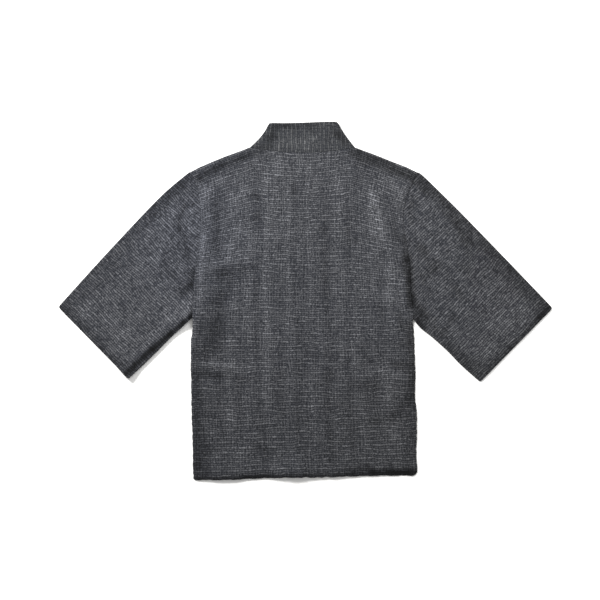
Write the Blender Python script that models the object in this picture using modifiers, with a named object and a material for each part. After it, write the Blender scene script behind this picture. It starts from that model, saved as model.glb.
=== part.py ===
"""A kimono jacket lying flat with its back up.

Metres, +Z up. Looking down on the jacket, +X is to the right and +Y towards the collar. The tables
measure its plan from the middle of the neck seam, and every piece is then moved so that the origin
lies on the surface under the middle of the whole jacket.
"""
import math
from collections import namedtuple

import bmesh
import bpy
from mathutils import Vector

# Driving dimensions
CLOTH = 0.0016            # one layer of the crinkled cotton
BAND = 0.0030             # the collar band, folded double and pressed
SEAM = 0.0004             # gap between two pieces that are sewn edge to edge
SLEEVE_HEIGHT = 0.0046    # a flattened sleeve, both layers and the air in it
COLLAR_HEIGHT = 0.0064    # the band where it is folded back on itself beside the neck
BACK_HEIGHT = 0.0050      # top of the back over a front panel
BAND_RISE = 0.0007        # extra height of the back where the band lies under it
EDGE_HEIGHT = 0.0008      # lowest point of the back where it turns down round the front
ROLL = 0.0050             # plan width of that turn
SLEEVE_FOLD = 0.0030      # plan width of the turn at a sleeve's long edges
FRONT_INSET = 0.0028      # how far a front's side and shoulder edges lie inside the back's
HEM_INSET = 0.0030        # how far the fronts and the band stop short of the back's hem
HEM_CURL = 0.33           # share of the full turn that the open hem curls down
BAND_WIDTH = 0.0700       # collar band, seam edge to free edge
FRONT_GAP = 0.0005        # each band's free edge to the centre front line
BAND_BEND_Y = -0.1650     # where the band's seam edge leaves the centre front for the neck
BAND_SLOPE = 0.0330       # plan width over which the back comes down from the band to the front
SIDE_TURN_START = 0.0040  # the back's side starts to turn down this far below the underarm
SIDE_TURN_FULL = 0.0250   # and is fully turned here
NECK_TURN_START = 0.0080  # the shoulder starts to turn down this far from the neck point
NECK_TURN_FULL = 0.0300
NECK_CLEAR = 0.03         # share of the neckline that a front's corner stops short of the neck point
ARMHOLE_STEPS = 16        # straight steps along each armhole seam
NECK_STEPS = 6            # straight steps along the back neck seam

# Plan of the garment from the middle of the neck seam
Point = namedtuple("Point", "x y")
Body = namedtuple("Body", "left_x left_y right_x right_y")
Sleeve = namedtuple("Sleeve", "outer_x outer_y under_x under_y")
Fold = namedtuple("Fold", "x0 y0 x1 y1 half_width height")

NECK_LEFT = Point(-0.1200, 0.0124)
NECK_RIGHT = Point(0.1160, 0.0110)
COLLAR_TOP_LEFT = Point(-0.0776, 0.0675)
COLLAR_TOP_RIGHT = Point(0.0754, 0.0698)

BODY_SECTIONS = (
    Body(-0.2465, -0.7345, 0.2540, -0.7245),    # hem
    Body(-0.2470, -0.7150, 0.2555, -0.7060),    # top of the turned hem
    Body(-0.2490, -0.6400, 0.2530, -0.6400),
    Body(-0.2510, -0.5700, 0.2555, -0.5700),    # lower part, a little wider on the right
    Body(-0.2515, -0.5520, 0.2530, -0.5520),
    Body(-0.2530, -0.5000, 0.2530, -0.5000),
    Body(-0.2530, -0.4350, 0.2510, -0.4350),
    Body(-0.2510, -0.4060, 0.2490, -0.4060),
    Body(-0.2486, -0.3758, 0.2464, -0.3724),    # underarms
)

ARMHOLE_LEFT = (
    Point(-0.2543, -0.0455),    # shoulder
    Point(-0.2396, -0.0675),
    Point(-0.2318, -0.1013),
    Point(-0.2288, -0.1508),
    Point(-0.2318, -0.1958),
    Point(-0.2396, -0.2340),
    Point(-0.2441, -0.2858),
    Point(-0.2486, -0.3758),    # underarm
)

ARMHOLE_RIGHT = (
    Point(0.2543, -0.0455),     # shoulder
    Point(0.2453, -0.0641),
    Point(0.2306, -0.1013),
    Point(0.2226, -0.1500),
    Point(0.2306, -0.2070),
    Point(0.2374, -0.2520),
    Point(0.2396, -0.3083),
    Point(0.2464, -0.3724),     # underarm
)

SLEEVE_LEFT = (
    Sleeve(-0.2543, -0.0455, -0.2486, -0.3758),    # armhole
    Sleeve(-0.3499, -0.1283, -0.2914, -0.4073),
    Sleeve(-0.4466, -0.2318, -0.3409, -0.4545),
    Sleeve(-0.5479, -0.3420, -0.3938, -0.5074),    # cuff
)

SLEEVE_RIGHT = (
    Sleeve(0.2543, -0.0455, 0.2464, -0.3724),      # armhole
    Sleeve(0.3476, -0.1283, 0.2891, -0.4129),
    Sleeve(0.4489, -0.2318, 0.3386, -0.4613),
    Sleeve(0.5569, -0.3454, 0.3926, -0.5119),      # cuff
)

BACK_FOLDS = (
    Fold(-0.2330, -0.1850, -0.2290, -0.4300, 0.011, 0.0010),     # roll beside the left armhole
    Fold(-0.1830, -0.2450, -0.2060, -0.4300, 0.016, -0.0008),    # hollow beside that roll
    Fold(-0.2400, -0.4800, -0.1600, -0.4880, 0.008, 0.0009),     # crease across the left side
    Fold(-0.2400, -0.4980, -0.1200, -0.5060, 0.008, -0.0008),
    Fold(0.2250, -0.1600, 0.2300, -0.3100, 0.010, 0.0008),       # roll beside the right armhole
    Fold(0.1570, -0.0720, 0.1620, -0.1950, 0.016, 0.0008),       # ridge down the right shoulder
    Fold(0.0440, -0.1050, 0.0450, -0.5780, 0.012, -0.0004),      # long shallow hollow right of centre
    Fold(-0.2150, -0.0430, -0.1300, -0.0080, 0.007, -0.0007),    # hollow inside the left shoulder
    Fold(0.1300, -0.0080, 0.2450, -0.0560, 0.007, -0.0006),      # hollow inside the right shoulder
    Fold(0.2050, -0.4780, 0.2350, -0.4760, 0.009, 0.0008),       # short crease on the right side
)

SLEEVE_LEFT_FOLDS = (
    Fold(-0.3970, -0.4840, -0.3120, -0.4160, 0.009, -0.0008),    # hollow inside the under edge
    Fold(-0.4700, -0.2900, -0.3300, -0.1500, 0.016, 0.0006),     # soft roll inside the outer edge
)

SLEEVE_RIGHT_FOLDS = (
    Fold(0.3350, -0.1500, 0.3900, -0.2400, 0.013, -0.0008),      # hollow inside the outer edge
    Fold(0.3000, -0.2500, 0.4700, -0.4000, 0.020, 0.0006),
)

CENTRE_X = (SLEEVE_LEFT[-1].outer_x + SLEEVE_RIGHT[-1].outer_x) / 2
CENTRE_Y = (COLLAR_TOP_RIGHT.y + BODY_SECTIONS[0].left_y) / 2

# Where the sheets are sampled, as shares of the stretch named
TURN_STEPS = (0.0, 0.1, 0.3, 0.6, 1.0)                       # across a turned edge
FOLD_ANGLES = (-90, -60, -30, 0, 30, 60, 90)                 # round a full fold, in degrees
SHOULDER_COLUMNS = (0.05, 0.11, 0.19)                        # across the back, from either side
BODY_ROWS = (0.05, 0.12, 0.20, 0.28, 0.36, 0.44, 0.505, 0.56,
             0.62, 0.68, 0.74, 0.80, 0.86, 0.91, 0.95, 0.98)    # up the back, hem to underarm
FRONT_ROWS = (0.0, 0.12, 0.25, 0.38, 0.505, 0.56, 0.68, 0.80, 0.90, 0.98)
BAND_ROWS = (0.0, 0.2, 0.4, 0.6, 0.8, 1.0)                   # up a front, hem to the bend
NECKLINE_ROWS = (0.25, 0.5, 0.75)                            # from the bend to the neck point
SHEET_COLUMNS = (0.0, 0.25, 0.5, 0.75, 1.0)                  # across a front or the band
SLEEVE_RINGS = (0.0, 0.05, 0.13, 0.24, 0.36, 0.49, 0.62, 0.75, 0.87, 0.96, 1.0)
BOW_FADE = 1.3            # how quickly the shoulder's slope leaves the rows below it
BEND_SHARE = 6 / ARMHOLE_STEPS                               # armhole row level with the band's bend


# Plain arithmetic on points
def mix(a, b, share):
    return a + (b - a) * share


def mix_points(a, b, share):
    return Point(mix(a.x, b.x, share), mix(a.y, b.y, share))


def smoothstep(low, high, value):
    share = min(max((value - low) / (high - low), 0.0), 1.0)
    return share * share * (3.0 - 2.0 * share)


def distance(a, b):
    return math.hypot(b.x - a.x, b.y - a.y)


def along(points, share):
    """Point at a share of the length of a line of straight steps."""
    lengths = [distance(a, b) for a, b in zip(points, points[1:])]
    left = share * sum(lengths)
    for a, b, length in zip(points, points[1:], lengths):
        if left <= length:
            return mix_points(a, b, left / length)
        left -= length
    return points[-1]


def smooth_line(points, per_step=12):
    """Catmull-Rom curve through the points, as many short straight steps."""
    padded = (points[0],) + tuple(points) + (points[-1],)
    line = []
    for a, b, c, d in zip(padded, padded[1:], padded[2:], padded[3:]):
        for step in range(per_step):
            t = step / per_step
            line.append(Point(*(
                0.5 * (2 * q + (r - p) * t + (2 * p - 5 * q + 4 * r - s) * t ** 2
                       + (3 * q - p - 3 * r + s) * t ** 3)
                for p, q, r, s in zip(a, b, c, d))))
    line.append(points[-1])
    return line


def even_steps(points, count):
    """The smooth curve through the points as equal straight steps, which neighbours share."""
    line = smooth_line(points)
    return [along(line, k / count) for k in range(count + 1)]


ARMHOLE_LINE_LEFT = even_steps(ARMHOLE_LEFT, ARMHOLE_STEPS)
ARMHOLE_LINE_RIGHT = even_steps(ARMHOLE_RIGHT, ARMHOLE_STEPS)
ARMHOLE_LENGTH = sum(distance(a, b) for a, b in zip(ARMHOLE_LINE_LEFT, ARMHOLE_LINE_LEFT[1:]))


# The plan's edges
def neck_dip_y(x):
    """The back neck seam dips from both neck points to the middle."""
    end = NECK_LEFT if x < 0 else NECK_RIGHT
    return end.y * (x / end.x) ** 2


NECK_LINE = [Point(x, neck_dip_y(x)) for x in
             (mix(NECK_LEFT.x, NECK_RIGHT.x, k / NECK_STEPS) for k in range(NECK_STEPS + 1))]


def neck_seam_y(x):
    """The dip as the straight steps that the back and the band share."""
    for a, b in zip(NECK_LINE, NECK_LINE[1:]):
        if x <= b.x:
            break
    return mix(a.y, b.y, (x - a.x) / (b.x - a.x))


def top_edge_y(x):
    """Upper edge of the back: shoulder, neck seam, shoulder."""
    if NECK_LEFT.x <= x <= NECK_RIGHT.x:
        return neck_seam_y(x)
    neck, shoulder = (NECK_LEFT, ARMHOLE_LEFT[0]) if x < 0 else (NECK_RIGHT, ARMHOLE_RIGHT[0])
    return mix(neck.y, shoulder.y, (x - neck.x) / (shoulder.x - neck.x))


def hem_y(x):
    hem = BODY_SECTIONS[0]
    return mix(hem.left_y, hem.right_y, (x - hem.left_x) / (hem.right_x - hem.left_x))


def body_points(share):
    """Left and right edge points at a share of the way from the hem to the underarms."""
    lefts = [Point(row.left_x, row.left_y) for row in BODY_SECTIONS]
    rights = [Point(row.right_x, row.right_y) for row in BODY_SECTIONS]
    return along(lefts, share), along(rights, share)


def band_seam_x(y):
    """Half width at which the band is sewn to a front, under the back."""
    outer = FRONT_GAP + BAND_WIDTH
    return mix(outer, -NECK_LEFT.x, max(0.0, (y - BAND_BEND_Y) / (NECK_LEFT.y - BAND_BEND_Y)))


# Heights
def relief(folds, x, y):
    """Height added by soft ridges and troughs, each a line that fades all round."""
    total = 0.0
    for fold in folds:
        run = Vector((fold.x1 - fold.x0, fold.y1 - fold.y0))
        offset = Vector((x - fold.x0, y - fold.y0))
        share = min(max(offset.dot(run) / run.length_squared, 0.0), 1.0)
        gap = (offset - run * share).length
        total += fold.height * math.exp(-(gap / fold.half_width) ** 2)
    return total


def turned(inset, width, strength=1.0):
    """Share of the full height kept at a distance inside an edge that turns down."""
    share = min(max(inset / width, 0.0), 1.0)
    return 1.0 - strength * (1.0 - math.sqrt(1.0 - (1.0 - share) ** 2))


def back_height(x, y, side_inset, below_underarm):
    """Top of the back, which turns down at its sides, shoulders and hem."""
    over_band = 1.0 - smoothstep(0.0, BAND_SLOPE, abs(x) - band_seam_x(y))
    full = BACK_HEIGHT + BAND_RISE * over_band + relief(BACK_FOLDS, x, y)
    side = turned(side_inset, ROLL, smoothstep(SIDE_TURN_START, SIDE_TURN_FULL, below_underarm))
    neck = NECK_LEFT if x < 0 else NECK_RIGHT
    past_neck = abs(x) - abs(neck.x)
    shoulder_angle = math.atan2(neck.y - ARMHOLE_LEFT[0].y, ARMHOLE_RIGHT[0].x - abs(neck.x))
    shoulder_inset = (top_edge_y(x) - y) * math.cos(shoulder_angle)
    shoulder = turned(shoulder_inset, ROLL, smoothstep(NECK_TURN_START, NECK_TURN_FULL, past_neck))
    hem = turned(y - hem_y(x), ROLL, HEM_CURL)
    return EDGE_HEIGHT + (full - EDGE_HEIGHT) * side * shoulder * hem


# Building
def cloth_material(name, color, roughness):
    material = bpy.data.materials.new(name)
    material.use_nodes = True
    shader = material.node_tree.nodes["Principled BSDF"]
    shader.inputs["Base Color"].default_value = (*color, 1.0)
    shader.inputs["Roughness"].default_value = roughness
    shader.inputs["Metallic"].default_value = 0.0
    material.diffuse_color = (*color, 1.0)
    return material


def add_cloth(name, rows, wall, color, closed=False, flip=False):
    """A sheet lofted through rows of points on its outer face, given its wall on the inner side."""
    bm = bmesh.new()
    grid = []
    for row in rows:
        grid.append([bm.verts.new((x - CENTRE_X, y - CENTRE_Y, z)) for x, y, z in row])
    for low, high in zip(grid, grid[1:]):
        pairs = list(zip(low, high))
        following = pairs[1:] + (pairs[:1] if closed else [])
        for (low_a, high_a), (low_b, high_b) in zip(pairs, following):
            face = (low_a, low_b, high_b, high_a)
            bm.faces.new(reversed(face) if flip else face)
    mesh = bpy.data.meshes.new(name)
    bm.to_mesh(mesh)
    bm.free()
    mesh.shade_smooth()
    mesh.set_sharp_from_angle(angle=math.radians(40))
    mesh.materials.append(cloth_material(name + "_cotton", color, 0.9))
    piece = bpy.data.objects.new(name, mesh)
    COLLECTION.objects.link(piece)
    solidify = piece.modifiers.new("wall", "SOLIDIFY")
    solidify.thickness = wall
    solidify.offset = -1.0
    solidify.use_even_offset = True
    return piece


def back_rows():
    """Rows of the back from the hem to the shoulders; the upper ones bend up to the neck."""
    width = BODY_SECTIONS[0].right_x - BODY_SECTIONS[0].left_x
    insets = [step * ROLL / width for step in TURN_STEPS]
    neck_left = (NECK_LEFT.x - ARMHOLE_LEFT[0].x) / (ARMHOLE_RIGHT[0].x - ARMHOLE_LEFT[0].x)
    neck_right = (NECK_RIGHT.x - ARMHOLE_LEFT[0].x) / (ARMHOLE_RIGHT[0].x - ARMHOLE_LEFT[0].x)
    neck = [mix(neck_left, neck_right, k / NECK_STEPS) for k in range(NECK_STEPS + 1)]
    middle = [*SHOULDER_COLUMNS, *neck, *(1.0 - u for u in reversed(SHOULDER_COLUMNS))]
    columns = insets + middle + [1.0 - inset for inset in reversed(insets)]

    body_length = BODY_SECTIONS[-1].left_y - BODY_SECTIONS[0].left_y
    rows = []
    for share in [step * ROLL / body_length for step in TURN_STEPS] + list(BODY_ROWS):
        left, right = body_points(share)
        row = []
        for u in columns:
            x = mix(left.x, right.x, u)
            y = mix(left.y, right.y, u)
            inset = min(x - left.x, right.x - x)
            below = BODY_SECTIONS[-1].left_y - y
            row.append((x, y, back_height(x, y, inset, below)))
        rows.append(row)

    armhole_shares = [k / ARMHOLE_STEPS for k in range(ARMHOLE_STEPS, 0, -1)]
    armhole_shares += [step * ROLL / ARMHOLE_LENGTH for step in reversed(TURN_STEPS)]
    for share in armhole_shares:
        left = along(ARMHOLE_LINE_LEFT, share)
        right = along(ARMHOLE_LINE_RIGHT, share)
        row = []
        for u in columns:
            top_x = mix(ARMHOLE_LEFT[0].x, ARMHOLE_RIGHT[0].x, u)
            bow = top_edge_y(top_x) - ARMHOLE_LEFT[0].y
            x = mix(left.x, right.x, u)
            y = mix(left.y, right.y, u) + bow * (1.0 - share) ** BOW_FADE
            row.append((x, y, back_height(x, y, ROLL, 0.0)))
        rows.append(row)
    return rows


def front_rows(sign, armhole_line, body_index):
    """Rows of one front panel, flat on the surface, from the hem to the shoulder seam."""
    inner_x = FRONT_GAP + BAND_WIDTH + SEAM
    bend = Point(sign * inner_x, BAND_BEND_Y)
    neck = NECK_LEFT if sign < 0 else NECK_RIGHT
    trim = FRONT_INSET / ARMHOLE_LENGTH
    top = mix_points(Point(neck.x + sign * SEAM, neck.y), bend, NECK_CLEAR)
    rows = []
    for share in FRONT_ROWS:
        edge = body_points(share)[body_index]
        x = edge.x - sign * FRONT_INSET
        y = edge.y + (HEM_INSET if share == 0.0 else 0.0)
        inner = Point(sign * inner_x, hem_y(sign * inner_x) + HEM_INSET if share == 0.0 else y)
        rows.append((Point(x, y), inner))
    for share in [k / ARMHOLE_STEPS for k in range(ARMHOLE_STEPS, 0, -1)] + [trim]:
        outer = along(armhole_line, share)
        if share >= BEND_SHARE:
            start = Point(sign * inner_x, armhole_line[-1].y)
            inner = mix_points(start, bend, (1.0 - share) / (1.0 - BEND_SHARE))
        else:
            inner = mix_points(bend, top, (BEND_SHARE - share) / (BEND_SHARE - trim))
        rows.append((outer, inner))
    return [[(*mix_points(outer, inner, u), 0.0) for u in SHEET_COLUMNS] for outer, inner in rows]


def sleeve_plan(outer, under, armhole_line, cross, down):
    """Plan point of a ring: cross runs from outer to under edge, down from the armhole to the cuff."""
    straight = mix_points(outer, under, cross)
    chord = mix_points(armhole_line[0], armhole_line[-1], cross)
    seam = along(armhole_line, cross)
    fade = (1.0 - down) ** 2
    return Point(straight.x + (seam.x - chord.x) * fade, straight.y + (seam.y - chord.y) * fade)


def sleeve_rows(sign, sections, armhole_line, folds):
    """Rings of a flattened sleeve, from just outside the armhole seam to the cuff."""
    outer_line = smooth_line([Point(row.outer_x, row.outer_y) for row in sections])
    under_line = smooth_line([Point(row.under_x, row.under_y) for row in sections])
    radius = SLEEVE_HEIGHT / 2
    steps = [k / ARMHOLE_STEPS for k in range(1, ARMHOLE_STEPS)]
    rings = []
    for down in SLEEVE_RINGS:
        outer = along(outer_line, down)
        under = along(under_line, down)
        turn = SLEEVE_FOLD / distance(outer, under)
        marks = []
        for angle in FOLD_ANGLES:
            swing = math.radians(angle)
            marks.append((turn * (1.0 - math.cos(swing)), radius + radius * math.sin(swing)))
        marks += [(step, SLEEVE_HEIGHT) for step in steps]
        for angle in reversed(FOLD_ANGLES):
            swing = math.radians(angle)
            marks.append((1.0 - turn * (1.0 - math.cos(swing)), radius + radius * math.sin(swing)))
        marks += [(step, 0.0) for step in reversed(steps)]
        ring = []
        for cross, z in marks:
            spot = sleeve_plan(outer, under, armhole_line, cross, down)
            on_top = smoothstep(radius, SLEEVE_HEIGHT, z)
            z += on_top * relief(folds, spot.x, spot.y)
            gap = SEAM * (2.0 - smoothstep(0.0, 0.06, cross))
            ring.append((spot.x + sign * gap, spot.y, z))
        rings.append(ring)
    return rings


def above_top_edge(x, y, run):
    """Slide a point along a direction until it clears the back's upper edge by the seam gap."""
    for _ in range(8):
        lift = (top_edge_y(x) + SEAM - y) / run.y
        x += run.x * lift
        y += run.y * lift
    return Point(x, y)


def collar_stations():
    """Free edge and seam edge of the band, left hem to right hem, with the height of its face."""
    radius = COLLAR_HEIGHT / 2
    stations = []
    for sign, seam_end, free_end in ((-1, NECK_LEFT, COLLAR_TOP_LEFT),
                                     (1, NECK_RIGHT, COLLAR_TOP_RIGHT)):
        run = Vector((free_end.x - seam_end.x, free_end.y - seam_end.y)).normalized()
        outward = Vector((sign * run.y, -sign * run.x))
        bend_seam = Point(sign * (FRONT_GAP + BAND_WIDTH), BAND_BEND_Y)
        neckline_slope = (seam_end.y - bend_seam.y) / (seam_end.x - bend_seam.x)
        bend_free_x = sign * FRONT_GAP
        bend_free = Point(bend_free_x, free_end.y + (bend_free_x - free_end.x) * neckline_slope)
        hem_free = Point(bend_free.x, hem_y(bend_free.x) + HEM_INSET)
        hem_seam = Point(bend_seam.x, hem_y(bend_seam.x) + HEM_INSET)
        side = []
        for share in BAND_ROWS:
            side.append((mix_points(hem_free, bend_free, share),
                         mix_points(hem_seam, bend_seam, share), 0.0))
        turns = []
        for angle in FOLD_ANGLES:
            swing = math.radians(angle)
            inset = radius * (1.0 - math.cos(swing))
            free = Point(free_end.x - outward.x * inset, free_end.y - outward.y * inset)
            seam = above_top_edge(seam_end.x - outward.x * inset, seam_end.y - outward.y * inset, run)
            turns.append((free, seam, radius + radius * math.sin(swing)))
        for share in NECKLINE_ROWS:
            side.append((mix_points(bend_free, turns[0][0], share),
                         mix_points(bend_seam, turns[0][1], share), 0.0))
        stations.append(side + turns)
    left, right = stations
    left_free, left_seam, _ = left[-1]
    right_free, right_seam, _ = right[-1]
    across = []
    for spot in NECK_LINE[1:-1]:
        share = (spot.x - left_seam.x) / (right_seam.x - left_seam.x)
        seam = Point(spot.x, spot.y + SEAM)
        across.append((mix_points(left_free, right_free, share), seam, COLLAR_HEIGHT))
    return left + across + right[::-1]


def collar_rows():
    return [[(*mix_points(free, seam, u), z) for u in SHEET_COLUMNS]
            for free, seam, z in collar_stations()]


for old in list(bpy.data.objects):
    bpy.data.objects.remove(old)
COLLECTION = bpy.data.collections.new("kimono_jacket")
bpy.context.scene.collection.children.link(COLLECTION)

CHARCOAL = (0.075, 0.077, 0.084)
COOL_CHARCOAL = (0.080, 0.081, 0.092)

add_cloth("back", back_rows(), CLOTH, CHARCOAL)
add_cloth("front_left", front_rows(-1, ARMHOLE_LINE_LEFT, 0), CLOTH, CHARCOAL, flip=True)
add_cloth("front_right", front_rows(1, ARMHOLE_LINE_RIGHT, 1), CLOTH, CHARCOAL)
add_cloth("collar", collar_rows(), BAND, CHARCOAL)
add_cloth("sleeve_left", sleeve_rows(-1, SLEEVE_LEFT, ARMHOLE_LINE_LEFT, SLEEVE_LEFT_FOLDS),
          CLOTH, COOL_CHARCOAL, closed=True, flip=True)
add_cloth("sleeve_right", sleeve_rows(1, SLEEVE_RIGHT, ARMHOLE_LINE_RIGHT, SLEEVE_RIGHT_FOLDS),
          CLOTH, COOL_CHARCOAL, closed=True)
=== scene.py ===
"""Looks of a kimono jacket lying flat with its back up, in charcoal crinkled cotton."""

import math

import bpy
import numpy as np
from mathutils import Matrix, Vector


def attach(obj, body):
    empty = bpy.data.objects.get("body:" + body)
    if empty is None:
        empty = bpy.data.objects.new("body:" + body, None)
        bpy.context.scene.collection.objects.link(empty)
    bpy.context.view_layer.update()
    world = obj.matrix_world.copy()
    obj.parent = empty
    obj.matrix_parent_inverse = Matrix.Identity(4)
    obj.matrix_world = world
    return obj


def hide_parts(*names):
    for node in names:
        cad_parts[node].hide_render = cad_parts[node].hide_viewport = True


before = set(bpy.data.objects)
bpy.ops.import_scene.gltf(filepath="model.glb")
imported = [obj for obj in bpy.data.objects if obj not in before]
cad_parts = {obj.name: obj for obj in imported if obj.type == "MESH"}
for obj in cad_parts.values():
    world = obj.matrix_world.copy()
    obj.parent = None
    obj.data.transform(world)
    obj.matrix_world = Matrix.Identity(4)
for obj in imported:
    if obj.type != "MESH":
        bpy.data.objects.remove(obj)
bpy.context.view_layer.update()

# Cloth
CLOTH = 0.0011            # one layer
BAND = 0.0022             # the collar band, folded double
ROW_PITCH = 0.0050        # from one weft ridge to the next
HEM_ROW_PITCH = 0.00532   # at the back's hem
ROW_CLOSING = 0.175       # the back's ridges lie closer towards the shoulders, a share a metre
COLLAR_ROW_PITCH = 0.00472
COLUMN_PITCH = 0.0061     # from one raised warp thread to the next
ROW_STEP = ROW_PITCH / 3  # grid step along the warp
COLUMN_STEP = 0.0050      # grid step along the weft
HIDDEN_STEP = 0.0080      # grid step where the cloth lies face down
HIDDEN_ROW_STEP = 0.0034  # the same along the fronts' warp
LEAST_GAP = 0.0001        # kept between one layer and the next
SEAM_GAP = 0.0004         # between pieces sewn together
PAINTED_LIGHT_POWER = 1.50         # how strongly a fold's painted shade or painted highlight shows

# Colour of the cloth, and how much of it the dark ground and the weft dashes give
BODY_COLOR = (0.0331, 0.0337, 0.0359)
# The sleeves and the collar are the same cloth as the body, set lighter: painted light, for how
# brightly each piece was lit
SLEEVE_COLOR = (0.0375, 0.0381, 0.0405)
COLLAR_COLOR = (0.0344, 0.0350, 0.0356)
PLAIN_COOL = 0.34         # how far the cloth is mixed towards its bluer colour
HIDDEN_TONE = 0.95        # of cloth that lies face down
BASE_SHARE = 0.24
WEFT_SHARE = 1.36
BLUER = (0.95, 1.01, 1.19)   # the bluer colour as a share of the cloth's own, for its hue and for painted cool light and shade
SLUB_LENGTH = 0.020
WARP_LENGTH = 0.040       # of a pale stretch of a warp thread
FLECK = 0.0024

# Heights of the upper faces
SLEEVE_HEIGHT = 0.0046
COLLAR_HEIGHT = 0.0064
BACK_HEIGHT = 0.0054
BAND_RISE = 0.0008        # more where the back lies over the band
BACK_EDGE_HEIGHT = 0.0011
UNDER_HEIGHT = 0.0002     # the underside's crinkle starts this far above the surface

# Plan of the garment in metres from the middle of the neck seam, +Y towards the collar
NECK_LEFT = (-0.1200, 0.0124)
NECK_RIGHT = (0.1160, 0.0115)
COLLAR_TOP_LEFT = (-0.0764, 0.0694)
COLLAR_TOP_RIGHT = (0.0752, 0.0720)
COLLAR_TOP_SAG = 0.0026
COLLAR_DEPTH = 0.0687       # from the fold to the neck seam
COLLAR_DENT_LEFT = 0.0056   # the collar's slanted folds bend inward
COLLAR_DENT_RIGHT = 0.0028
BAND_WIDTH = 0.0700
FRONT_GAP = 0.0005          # from the middle to the band's free edge
BAND_BEND_Y = -0.1650       # the band slants to the neck above this
NECK_HALF = 0.118           # the neck seam reaches this far to each side
SHOULDER_COSINE = 0.918     # of the shoulders' slope
ARM_GRAIN = 1.12            # the back's cloth beside an armhole is longer than the armhole
FRONT_WIDTH = 0.18          # a front panel without its band
FRONT_NECK_INSET_X = 0.002  # from the neck seam's end to the front's
FRONT_NECK_INSET_Y = 0.006
SLEEVE_DEPTH = 0.30         # from the outer edge to the under edge
SLEEVE_TURN = 0.0030        # width of the round turn at both
UNDERSIDE_GRAIN = 0.8       # moves the weave, so that hidden cloth doesn't repeat what shows
BACK_NECK_GRAIN = 2.0
BAND_STRAIGHT = 0.5         # the band's stretch below its bend, and the one above it
BAND_SLANT = 0.2
HEM_INSET = 0.0040          # the fronts and the band end this far inside the back's hem
HEM_FADE = 8                # how fast the hem's shape fades upwards
HEM_LIFTS = ((0.0070, -0.022, 0.040), (0.0042, -0.172, 0.052), (0.0022, 0.070, 0.040))
PER_METRE = 10000.0         # tenths of a millimetre


def metres(*points):
    """Plan points from tenths of a millimetre."""
    return tuple((x / PER_METRE, y / PER_METRE) for x, y in points)


# The outline, from points that a scratch script measured in the picture
SHOULDER_LEFT = (*metres((-2543, -436), (-2326, -320), (-2047, -200), (-1767, -84), (-1482, 20)),
                 NECK_LEFT)
SHOULDER_RIGHT = (NECK_RIGHT,
                  *metres((1463, 12), (1747, -99), (2030, -214), (2314, -323), (2543, -436)))
SIDE_LEFT = metres((-2472, -7360), (-2480, -7150), (-2500, -6400), (-2525, -5700), (-2535, -5000),
                   (-2534, -4400), (-2515, -4060), (-2499, -3900), (-2486, -3700))
SIDE_RIGHT = metres((2545, -7255), (2556, -7100), (2534, -6716), (2552, -6300), (2548, -5883),
                    (2512, -5500), (2522, -5050), (2508, -4635), (2494, -4219), (2464, -3740))
HEM = metres((-2472, -7358), (-1705, -7353), (-1014, -7322), (-323, -7299), (368, -7299), (1059, -7277),
             (1750, -7258), (2545, -7257))
ARMHOLE_LEFT = metres((-2543, -436), (-2396, -675), (-2318, -1013), (-2288, -1508), (-2318, -1958),
                      (-2396, -2340), (-2441, -2858), (-2486, -3700))
ARMHOLE_RIGHT = metres((2543, -436), (2453, -641), (2306, -1013), (2226, -1500), (2306, -2070),
                       (2374, -2520), (2396, -3083), (2464, -3740))
OUTER_LEFT = metres((-2543, -436), (-2625, -477), (-3121, -893), (-3599, -1377), (-4063, -1870),
                    (-4524, -2367), (-4981, -2869), (-5517, -3465))
UNDER_LEFT = metres((-2486, -3700), (-2720, -3915), (-2994, -4168), (-3396, -4572), (-3930, -5084))
OUTER_RIGHT = metres((2543, -436), (2670, -498), (3136, -946), (3612, -1421), (4079, -1903),
                     (4546, -2385), (5010, -2869), (5603, -3489))
UNDER_RIGHT = metres((2464, -3740), (2625, -3935), (2889, -4143), (3245, -4465), (3539, -4768),
                     (3972, -5152))

# The plan's place in the shared frame
SHIFT_X = -0.0045
SHIFT_Y = 0.33235

# The photograph: metres a pixel, its width in pixels, and the pixel at the middle of the neck seam
PIXEL = 0.00225
PHOTO_PIXELS = 600
NECK_PIXEL_X = 303.5
NECK_PIXEL_Y = 153.0
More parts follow.
